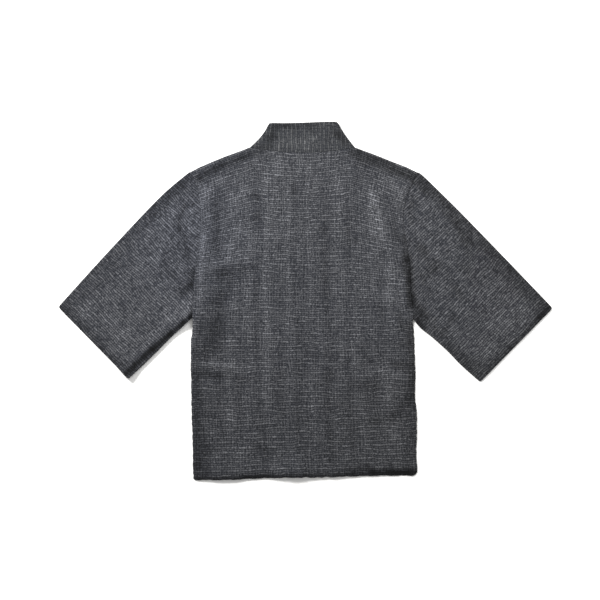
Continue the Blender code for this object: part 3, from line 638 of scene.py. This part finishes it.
def cotton(name, color, seed, alternate=0.33, contrast=0.80, dash_length=0.0054,
           warp_share=0.80):
    """Crinkled slub cotton: pale weft dashes in rows and finer pale warp threads on dark cloth."""
    material = bpy.data.materials.new(name)
    material.use_nodes = True
    tree = material.node_tree
    nodes, links = tree.nodes, tree.links
    shader = nodes["Principled BSDF"]
    set_inputs(shader, {"Roughness": 0.95, "Specular IOR Level": 0.15, "Sheen Weight": 0.06,
                        "Sheen Roughness": 0.5})

    def put(socket, value):
        if isinstance(value, (int, float)):
            socket.default_value = value
        else:
            links.new(value, socket)

    def calc(operation, a, b=0.0):
        node = nodes.new("ShaderNodeMath")
        node.operation = operation
        put(node.inputs[0], a)
        put(node.inputs[1], b)
        return node.outputs[0]

    def times(a, b):
        return calc("MULTIPLY", a, b)

    def plus(a, b):
        return calc("ADD", a, b)

    def attribute(key):
        node = nodes.new("ShaderNodeAttribute")
        node.attribute_name = key
        return node.outputs["Fac"]

    def ramp(value, start, end, low, high):
        node = nodes.new("ShaderNodeMapRange")
        node.interpolation_type = "SMOOTHSTEP"
        links.new(value, node.inputs["Value"])
        set_inputs(node, {"From Min": start, "From Max": end, "To Min": low, "To Max": high})
        return node.outputs["Result"]

    def noise(a, b, detail):
        vector = nodes.new("ShaderNodeCombineXYZ")
        put(vector.inputs[0], a)
        put(vector.inputs[1], b)
        texture = nodes.new("ShaderNodeTexNoise")
        texture.noise_dimensions = "2D"
        set_inputs(texture, {"Scale": 1.0, "Detail": detail})
        links.new(vector.outputs[0], texture.inputs["Vector"])
        return texture.outputs["Fac"]

    grain = nodes.new("ShaderNodeUVMap")
    grain.uv_map = "grain"
    split = nodes.new("ShaderNodeSeparateXYZ")
    links.new(grain.outputs["UV"], split.inputs[0])
    u, v = split.outputs[0], split.outputs[1]
    row, column = attribute("row"), attribute("column")
    row_count = calc("ROUND", row)
    column_count = calc("ROUND", column)
    from_row = calc("ABSOLUTE", calc("SUBTRACT", row, row_count))
    from_column = calc("ABSOLUTE", calc("SUBTRACT", column, column_count))

    dash = noise(times(u, 1 / dash_length), times(row_count, 7.31 + seed), 1.5)
    slub = noise(times(u, 1 / SLUB_LENGTH), times(row_count, 3.17 + seed), 0.0)
    weft = times(ramp(dash, 0.27, 0.63, 0.22, 1.38), ramp(slub, 0.30, 0.70, 0.74, 1.26))
    every_other = calc("ABSOLUTE", calc("MODULO", row_count, 2.0))
    every_other = calc("SUBTRACT", 1.0 + alternate, times(every_other, 2 * alternate))
    weft = times(weft, every_other)
    weft = times(weft, ramp(from_row, 0.14, 0.48, 1.0, 0.0))
    long = noise(times(v, 1 / WARP_LENGTH), times(column_count, 5.71 + seed), 1.0)
    warp = times(ramp(long, 0.36, 0.70, 0.3, 1.3), ramp(from_column, 0.05, 0.24, 1.0, 0.0))
    fleck = noise(times(u, 1 / FLECK), times(v, 1 / FLECK), 0.0)
    weave = plus(times(weft, WEFT_SHARE), times(warp, warp_share))
    weave = plus(weave, BASE_SHARE)
    weave = times(weave, ramp(fleck, 0.20, 0.66, 0.30, 1.44))
    weave = calc("POWER", weave, contrast)
    # The weave is darkened and lightened by random tone and by painted shade and painted highlight
    weave = times(weave, attribute("tone"))

    # Dark threads and cloth in painted shade lean to the bluer colour, partly the cloth's hue and
    # partly a painted cool tint of shade; the cool attribute adds a painted cool tint of light
    hue = nodes.new("ShaderNodeMix")
    hue.data_type = "RGBA"
    ground = ramp(weave, 0.30, 1.70, 0.50, 0.0)
    cool = times(attribute("cool"), ramp(weave, 0.30, 1.70, 1.65, 0.45))
    links.new(plus(cool, ground), hue.inputs["Factor"])
    bluer = [channel * share for channel, share in zip(color, BLUER)]
    set_inputs(hue, {"A": (*color, 1.0), "B": (*bluer, 1.0)})
    scale = nodes.new("ShaderNodeVectorMath")
    scale.operation = "SCALE"
    links.new(hue.outputs["Result"], scale.inputs[0])
    links.new(weave, scale.inputs["Scale"])
    links.new(scale.outputs["Vector"], shader.inputs["Base Color"])

    height = plus(times(weft, 0.8), times(warp, 0.5))
    height = plus(height, times(fleck, 0.6))
    bump = nodes.new("ShaderNodeBump")
    set_inputs(bump, {"Strength": 0.6, "Distance": 0.0004})
    links.new(height, bump.inputs["Height"])
    links.new(bump.outputs["Normal"], shader.inputs["Normal"])
    return material


def cool_hue_and_light_tint(x, y, tone):
    """Share of the bluer colour: the cloth's own hue, with a painted cool tint of light that is bluest
    round the left armhole and most neutral at its lower right edges and where painted edge shade is
    deep.
    """
    armhole = 0.92 * np.exp(-(((x + 0.256) / 0.120) ** 2 + ((y + 0.17) / 0.15) ** 2))
    right = smoothstep(-0.05, 0.25, x)
    low = smoothstep(-0.35, -0.62, y)
    even = PLAIN_COOL - low * (0.09 + 0.16 * right) - 0.16 * smoothstep(0.24, 0.50, x)
    return (armhole + even) * mix(1.0, smoothstep(0.55, 1.0, tone), mix(0.45, 1.0, right))


# Pieces
def make_back():
    width = SIDE_RIGHT[0][0] - SIDE_LEFT[0][0]
    u = edged_steps(width, COLUMN_STEP, edge=0.014, edge_step=0.002)
    side_left, side_right = smooth_points(SIDE_LEFT), smooth_points(SIDE_RIGHT)
    arm_left, arm_right = smooth_points(ARMHOLE_LEFT), smooth_points(ARMHOLE_RIGHT)
    body_length, arm_length = step_lengths(side_left).sum(), step_lengths(arm_left).sum()
    low = even_steps(body_length, ROW_STEP)[:, None]
    high = (1.0 - even_steps(arm_length, ROW_STEP)[1:])[:, None]

    left, right = read_line(side_left, low[:, 0]), read_line(side_right, low[:, 0])
    x_low = mix(left[:, :1], right[:, :1], u)
    y_low = mix(left[:, 1:], right[:, 1:], u)
    hem_wave = hem_y(x_low) - mix(SIDE_LEFT[0][1], SIDE_RIGHT[0][1], u)[None, :]
    y_low = y_low + hem_wave * (1.0 - low) ** HEM_FADE

    left, right = read_line(arm_left, high[:, 0]), read_line(arm_right, high[:, 0])
    overlap = 0.0014
    x_high = mix(left[:, :1] - overlap, right[:, :1] + overlap, u)
    top_x = mix(ARMHOLE_LEFT[0][0], ARMHOLE_RIGHT[0][0], u)
    bow = top_edge_y(top_x) - ARMHOLE_LEFT[0][1]
    y_high = mix(left[:, 1:], right[:, 1:], u) + bow * (1.0 - high) ** 1.3

    x, y = np.vstack([x_low, x_high]), np.vstack([y_low, y_high])
    arm_v = (1.0 - high[:, 0]) * arm_length * ARM_GRAIN
    v = np.concatenate([low[:, 0] * body_length, body_length + arm_v])
    grain_u = np.broadcast_to((u - 0.5) * width, x.shape)
    grain_v = np.broadcast_to(v[:, None], x.shape)

    from_left, from_right = x - x[:, :1], x[:, -1:] - x
    side_depth = np.minimum(from_left, from_right)
    below = np.clip((SIDE_LEFT[-1][1] - y) / 0.020, 0.0, 1.0)
    shoulder_depth = (top_edge_y(x) - y) * SHOULDER_COSINE
    past_neck = np.abs(x) - NECK_HALF
    on_shoulder = smoothstep(0.0, 0.020, past_neck)
    hem_depth = y - hem_y(x)
    armhole_depth = np.where(y > SIDE_LEFT[-1][1], side_depth, 1.0)

    over_band = 1.0 - smoothstep(0.0, 0.033, np.abs(x) - band_seam_x(y))
    near_neck = (1.0 - on_shoulder) * (1.0 - smoothstep(0.0, 0.03, shoulder_depth))
    fold_height, tone = fold_relief(BACK_FOLDS, x, y, 101)
    # The armhole's painted shadow line reaches onto the back
    seam_height, seam_tone = fold_relief(SLEEVE_RIGHT_FOLDS[:3], x, y, 101)
    fold_height, tone = fold_height + 0.3 * seam_height, tone * seam_tone
    warp_height, warp_tone = fold_relief(WARP_FOLDS, x, y, 131, 0.8)
    full = BACK_HEIGHT + BAND_RISE * over_band + 0.0006 * near_neck + fold_height + warp_height
    row, column, ridges = crinkle(grain_u, grain_v, 11, HEM_ROW_PITCH, ROW_CLOSING)
    full = full + ridges

    side = mix(1.0, 0.62 * turned(side_depth, 0.004) + 0.38 * smoothstep(0, 0.022, side_depth), below)
    roll = 0.72 * turned(shoulder_depth, 0.0045) + 0.28 * smoothstep(0.0, 0.020, shoulder_depth)
    shoulder = mix(1.0, roll, on_shoulder)
    hem = 0.85 * turned(hem_depth, 0.0060) + 0.15 * smoothstep(0.0, 0.020, hem_depth)
    z = BACK_EDGE_HEIGHT + (full - BACK_EDGE_HEIGHT) * side * shoulder * hem
    z = z + hem_lift(x, hem_depth) + armpit_lift(x, y)
    seam_drop = (1.0 - smoothstep(0.0, 0.012, armhole_depth)) * 0.0008
    z = np.maximum(z - seam_drop, CLOTH + LEAST_GAP)

    flutter = 0.0007 * lattice_noise(grain_v / 0.0055, 0.0, 17)
    flutter += 0.0006 * lattice_noise(grain_v / 0.021, 0.0, 18)
    x = x + flutter * np.exp(-from_left / 0.006) * below - flutter[::-1] * np.exp(-from_right / 0.006)

    tone = tone * warp_tone * band_tone(grain_u, grain_v, 29)
    # Painted light: the back is lighter towards the shoulders and darker towards the hem
    tone = tone * mix(0.90, 1.135, smoothstep(-0.62, -0.10, y))
    # Painted shade along the sides, the hem and the shoulders
    side_tone = edge_tone(from_left, SIDE_LEFT_SHADE) * edge_tone(from_right, SIDE_RIGHT_SHADE)
    tone = tone * mix(1.0, side_tone, below)
    tone = tone * edge_tone(hem_depth, HEM_SHADE)
    shoulder_tone = np.where(x < 0, edge_tone(shoulder_depth, SHOULDER_LEFT_SHADE),
                             edge_tone(shoulder_depth, SHOULDER_RIGHT_SHADE))
    tone = tone * mix(1.0, shoulder_tone, smoothstep(-0.012, 0.006, past_neck))
    # Painted shade along the armhole seam
    tone = tone * mix(0.93, 1.0, smoothstep(0.0, 0.004, armhole_depth))

    material = cotton("back_cotton", BODY_COLOR, 0.0)
    piece = cloth_mesh("back_cloth", material, (x, y, z), (grain_u, grain_v), tone=tone,
                       cool=cool_hue_and_light_tint(x, y, tone), row=row, column=column)
    declare(piece, "back")


def make_front(side, sign, side_points, arm_points, seed):
    """A front panel, face down under the back."""
    inner_x = FRONT_GAP + BAND_WIDTH + SEAM_GAP
    body_line, arm_line = smooth_points(side_points), smooth_points(arm_points)
    body_length, arm_length = step_lengths(body_line).sum(), step_lengths(arm_line).sum()
    inset = 0.0040
    trim = inset / arm_length
    low = even_steps(body_length, HIDDEN_ROW_STEP)[:, None]
    high = (1.0 - even_steps(arm_length, HIDDEN_ROW_STEP)[1:] * (1.0 - trim))[:, None]
    u = even_steps(FRONT_WIDTH, HIDDEN_STEP)

    edge = read_line(body_line, low[:, 0])
    outer_x = edge[:, :1] - sign * inset * (1.0 - smoothstep(0.95, 1.0, low))
    x_low = mix(outer_x, sign * inner_x, u)
    y_low = mix(edge[:, 1:], mix(hem_y(sign * inner_x), edge[-1, 1], low), u)
    y_low = y_low + HEM_INSET * (1.0 - low) ** HEM_FADE

    edge = read_line(arm_line, high[:, 0])
    neck = NECK_LEFT if sign < 0 else NECK_RIGHT
    bend_share = (BAND_BEND_Y - arm_points[-1][1]) / (neck[1] - arm_points[-1][1])
    climb = (1.0 - high) / (1.0 - trim)
    inner_y = mix(arm_points[-1][1], neck[1] - FRONT_NECK_INSET_Y, climb)
    slant = np.clip((climb - bend_share) / (1.0 - bend_share), 0.0, 1.0)
    inner = mix(sign * inner_x, neck[0] + sign * FRONT_NECK_INSET_X, slant)
    x_high = mix(edge[:, :1], inner, u)
    y_high = mix(edge[:, 1:], inner_y, u)

    x, y = np.vstack([x_low, x_high]), np.vstack([y_low, y_high])
    v = np.concatenate([low[:, 0] * body_length, body_length + (1.0 - high[:, 0]) * arm_length])
    grain_u = np.broadcast_to(u * FRONT_WIDTH * sign, x.shape)
    grain_v = np.broadcast_to(v[:, None], x.shape)
    folds = [(sign * x0, y0, sign * run_x, *rest) for x0, y0, run_x, *rest in FRONT_FOLDS]
    creases, tone = fold_relief(folds, x, y, seed)
    row, column, ridges = crinkle(grain_u, grain_v, seed)
    z = UNDER_HEIGHT + LEAST_GAP + np.clip(ridges, -UNDER_HEIGHT, 0.0006)
    z = np.clip(z + np.clip(creases, 0.0, 0.0008), 0.0, 0.0012)
    material = cotton(f"front_{side}_cotton", BODY_COLOR, 0.2 + 0.1 * sign)
    piece = cloth_mesh(f"front_{side}_cloth", material, (x, y, z), (grain_u, grain_v),
                       flip=sign < 0, tone=tone * HIDDEN_TONE,
                       cool=np.full_like(x, PLAIN_COOL), row=row, column=column)
    declare(piece, f"front_{side}")


def make_sleeve(side, sign, outer_points, under_points, arm_points, folds, seed):
    """A flattened sleeve as one tube from the armhole to the cuff."""
    outer_line, under_line = smooth_points(outer_points), smooth_points(under_points)
    arm_line = smooth_points(arm_points)
    length = step_lengths(outer_line).sum()
    down = even_steps(length, ROW_STEP)[:, None]
    outer, under = read_line(outer_line, down[:, 0]), read_line(under_line, down[:, 0])
    across = np.hypot(*(outer - under).T)[:, None]

    turn = SLEEVE_TURN / across
    swing = np.radians(np.linspace(-90.0, 90.0, 9))[None, :]
    top_marks = edged_steps(SLEEVE_DEPTH, COLUMN_STEP, edge=0.024, edge_step=0.003)[None, 1:-1]
    under_marks = even_steps(SLEEVE_DEPTH, 2 * HIDDEN_STEP)[None, 1:-1]
    start = turn * (1.0 - np.cos(swing))
    marks = np.hstack([start, mix(turn, 1.0 - turn, top_marks), 1.0 - start[:, ::-1],
                       mix(turn, 1.0 - turn, under_marks)[:, ::-1]])
    rise = 0.5 + 0.5 * np.sin(swing)
    lift = np.hstack([rise[0], np.ones(top_marks.shape[1]), rise[0, ::-1],
                      np.zeros(under_marks.shape[1])])[None, :]

    chord = mix(arm_line[:1, None], arm_line[-1:, None], marks[..., None])
    bend = (read_line(arm_line, marks) - chord) * ((1.0 - down) ** 2)[..., None]
    plan = mix(outer[:, None], under[:, None], marks[..., None]) + bend
    x, y = plan[..., 0], plan[..., 1]
    axis = unit(outer_line[-1] - outer_line[0])
    from_start = plan - outer_line[0]
    grain_v = from_start @ axis
    grain_u = from_start @ np.array([axis[1], -axis[0]]) + np.where(lift < 0.5, UNDERSIDE_GRAIN, 0.0)

    outer_depth, under_depth = marks * across, (1.0 - marks) * across
    armhole_depth, cuff_depth = down * length, (1.0 - down) * length
    fold_height, tone = fold_relief(folds, x, y, seed)
    on_top = smoothstep(0.5, 1.0, lift)
    row, column, ridges = crinkle(grain_u, grain_v, seed + 5)
    relief = fold_height * smoothstep(-0.020, 0.060, cuff_depth) + ridges
    slope = mix(0.70, 1.0, smoothstep(0.0, 0.022, outer_depth)
                * smoothstep(0.0, 0.016, under_depth))
    tuck = 1.0 - 0.10 * (1.0 - smoothstep(0.0, 0.010, armhole_depth))
    flat_cuff = mix(0.64, 1.0, smoothstep(0.0, 0.060, cuff_depth))
    height = SLEEVE_HEIGHT * slope * tuck * flat_cuff
    under_z = UNDER_HEIGHT + np.clip(ridges, -UNDER_HEIGHT, 0.0005)
    top_z = np.maximum(height + relief * on_top, 2 * CLOTH + UNDER_HEIGHT + LEAST_GAP)
    z = mix(under_z, top_z, lift)
    z = z + under_lift(sign, down, under_depth) + armpit_lift(x, y)

    tone = mix(1.0, tone, on_top) * band_tone(grain_u, grain_v, seed + 15)
    # Painted shade along the outer edge, the under edge and the cuff; the dark strip inside the left
    # under edge is a painted shadow
    under_pairs = UNDER_LEFT_SHADE if sign < 0 else UNDER_RIGHT_SHADE
    narrowing = mix(1.45, 1.0, smoothstep(0.15, 0.55, down)) if sign < 0 else 1.0
    edges = edge_tone(outer_depth, OUTER_EDGE_SHADE) * edge_tone(under_depth * narrowing, under_pairs)
    tone = tone * edges * edge_tone(cuff_depth, CUFF_SHADE)
    # Painted shade along the armhole seam
    tone = tone * mix(0.94, 1.0, smoothstep(0.0, 0.004, armhole_depth))
    material = cotton(f"sleeve_{side}_cotton", SLEEVE_COLOR, 0.5 + 0.1 * sign, alternate=0.21,
                      dash_length=0.0090, warp_share=0.52)
    piece = cloth_mesh(f"sleeve_{side}_cloth", material, (x, y, z), (grain_u, grain_v),
                       closed=True, flip=sign < 0, tone=tone,
                       cool=cool_hue_and_light_tint(x, y, tone), row=row, column=column)
    declare(piece, f"sleeve_{side}")


def collar_side(sign, seam_end, free_end):
    """The band from a front's hem to the fold: free point, seam point, and which way it faces."""
    seam_end, free_end = np.array(seam_end), np.array(free_end)
    run = unit(free_end - seam_end)
    outward = sign * np.array([run[1], -run[0]])
    bend_seam = np.array([sign * (FRONT_GAP + BAND_WIDTH), BAND_BEND_Y])
    slope = (seam_end[1] - bend_seam[1]) / (seam_end[0] - bend_seam[0])
    bend_free_x = sign * FRONT_GAP
    bend_free = np.array([bend_free_x, free_end[1] + (bend_free_x - free_end[0]) * slope])
    hem_free = np.array([bend_free_x, hem_y(bend_free_x) + HEM_INSET])
    hem_seam = np.array([bend_seam[0], hem_y(bend_seam[0]) + HEM_INSET])
    radius = COLLAR_HEIGHT / 2
    stations = []
    for share in even_steps(BAND_STRAIGHT, HIDDEN_STEP):
        stations.append((mix(hem_free, bend_free, share), mix(hem_seam, bend_seam, share), -1.0))
    for share in even_steps(BAND_SLANT, HIDDEN_STEP)[1:-1]:
        stations.append((mix(bend_free, free_end - outward * radius, share),
                         mix(bend_seam, seam_end - outward * radius, share), -1.0))
    for angle in np.radians(np.linspace(-90.0, 90.0, 13)):
        inset = outward * radius * (1.0 - math.cos(angle))
        stations.append((free_end - inset, seam_end - inset, math.sin(angle)))
    return stations


def make_collar():
    left = collar_side(-1, NECK_LEFT, COLLAR_TOP_LEFT)
    right = collar_side(1, NECK_RIGHT, COLLAR_TOP_RIGHT)
    top = []
    for share in even_steps(2 * NECK_HALF, ROW_STEP)[1:-1]:
        seam_x = mix(left[-1][1][0], right[-1][1][0], share)
        sag = COLLAR_TOP_SAG * math.sin(math.pi * share) * (1.0 - share) ** 1.5
        free_point = mix(left[-1][0], right[-1][0], share) - np.array([0.0, sag])
        top.append((free_point, np.array([seam_x, 0.0]), 1.0))
    stations = left + top + right[::-1]
    free, seam, face = (np.array(part)[:, None] for part in zip(*stations))
    on_back = smoothstep(-0.2, 0.6, face)
    clear_y = top_edge_y(seam[..., 0]) + SEAM_GAP
    seam_y = mix(seam[..., 1], np.maximum(seam[..., 1], clear_y), on_back)
    seam_y = np.where(face > 0.99, clear_y, seam_y)
    seam = np.stack([seam[..., 0], seam_y], -1)
    w = edged_steps(BAND_WIDTH, 0.0035, edge=0.004, edge_step=0.001)
    plan = mix(free, seam, w[None, :, None])
    x, y = plan[..., 0], plan[..., 1]
    left_gap, left_share = distance_to(x, y, *NECK_LEFT, *COLLAR_TOP_LEFT)
    right_gap, right_share = distance_to(x, y, *NECK_RIGHT, *COLLAR_TOP_RIGHT)
    x = x + COLLAR_DENT_LEFT * np.sin(math.pi * left_share) * np.exp(-left_gap / 0.040)
    x = x - COLLAR_DENT_RIGHT * np.sin(math.pi * right_share) * np.exp(-right_gap / 0.040)
    middle = mix(free[:, 0], seam[:, 0], 0.5)
    height = COLLAR_HEIGHT / 2 * (1.0 + face)
    steps = np.hypot(step_lengths(middle), np.diff(height[:, 0]))
    along = np.concatenate([[0.0], np.cumsum(steps)])[:, None]
    grain_v = np.where(face > 0.0, x + BACK_NECK_GRAIN, np.broadcast_to(along, x.shape))
    grain_u = np.where(face > 0.0, COLLAR_TOP_LEFT[1] - y, w * BAND_WIDTH)

    fold_height, tone = fold_relief(COLLAR_FOLDS, x, y, 301)
    row, column, ridges = crinkle(grain_u, grain_v, 41, COLLAR_ROW_PITCH)
    ridges = 0.6 * ridges
    free_depth = np.broadcast_to(w * COLLAR_DEPTH, x.shape)
    lip = (1.0 - turned(free_depth, 0.0022)) * 0.0009
    settle = smoothstep(0.99, 1.0, face)
    side_gap = np.minimum(left_gap, right_gap)
    z = height - face * lip + on_back * (fold_height + ridges - 0.0002)
    z = z + (1.0 - on_back) * np.clip(ridges, 0.0, 0.0004)
    z = z - settle * 0.0004 * smoothstep(0.008, 0.0, (1.0 - w) * COLLAR_DEPTH)
    z = np.maximum(z, 0.0)
    # Painted shade along the collar's edges
    edges = edge_tone(free_depth, COLLAR_EDGE_SHADE) * edge_tone(side_gap, COLLAR_EDGE_SHADE)
    tone = mix(HIDDEN_TONE, tone * edges, on_back) * band_tone(grain_u, grain_v, 57)
    material = cotton("collar_cotton", COLLAR_COLOR, 0.8, alternate=0.48, contrast=0.58,
                      dash_length=0.0058, warp_share=0.66)
    piece = cloth_mesh("collar_cloth", material, (x, y, z), (grain_u, grain_v), BAND, tone=tone,
                       cool=cool_hue_and_light_tint(x, y, tone), row=row, column=column)
    declare(piece, "collar")


def make_floor():
    bpy.ops.mesh.primitive_plane_add(size=40.0)
    floor = bpy.context.active_object
    floor.name = "floor"
    material = bpy.data.materials.new("floor_white")
    material.use_nodes = True
    shader = material.node_tree.nodes["Principled BSDF"]
    set_inputs(shader, {"Base Color": (0.92, 0.92, 0.92, 1.0), "Roughness": 0.9,
                        "Specular IOR Level": 0.0})
    floor.data.materials.append(material)


def make_light():
    world = bpy.data.worlds.new("studio")
    bpy.context.scene.world = world
    world.use_nodes = True
    background = world.node_tree.nodes["Background"]
    set_inputs(background, {"Color": (1.0, 0.995, 0.98, 1.0), "Strength": 0.54})
    add_softbox("key", (-1.90, 2.10, 1.75), 0.95, 212.0)
    add_softbox("fill", (1.10, 1.55, 1.20), 0.60, 28.0)


def add_softbox(name, place, size, energy):
    lamp = bpy.data.lights.new(name, "AREA")
    lamp.shape = "SQUARE"
    lamp.size = size
    lamp.energy = energy
    lamp.color = (1.0, 0.99, 0.97)
    softbox = add_object(name, lamp)
    softbox.location = place
    softbox.rotation_euler = (-Vector(place)).to_track_quat("-Z", "Y").to_euler()


def make_camera():
    """Straight above, with the photograph's frame: its middle pixel and its width in metres."""
    frame_width = PHOTO_PIXELS * PIXEL
    middle = PHOTO_PIXELS / 2
    distance = 3.0
    data = bpy.data.cameras.new("camera")
    data.sensor_width = 36.0
    data.lens = data.sensor_width * distance / frame_width
    data.clip_end = 100.0
    camera = add_object("camera", data)
    camera.location = ((middle - NECK_PIXEL_X) * PIXEL + SHIFT_X,
                       (NECK_PIXEL_Y - middle) * PIXEL + SHIFT_Y, distance)
    bpy.context.scene.camera = camera


# Scene
scene = bpy.context.scene
scene.view_settings.view_transform = "Standard"
make_camera()
make_floor()
make_light()
make_back()
make_front("left", -1, SIDE_LEFT, ARMHOLE_LEFT, 201)
make_front("right", 1, SIDE_RIGHT, ARMHOLE_RIGHT, 221)
make_sleeve("left", -1, OUTER_LEFT, UNDER_LEFT, ARMHOLE_LEFT, SLEEVE_LEFT_FOLDS, 241)
make_sleeve("right", 1, OUTER_RIGHT, UNDER_RIGHT, ARMHOLE_RIGHT, SLEEVE_RIGHT_FOLDS, 271)
make_collar()
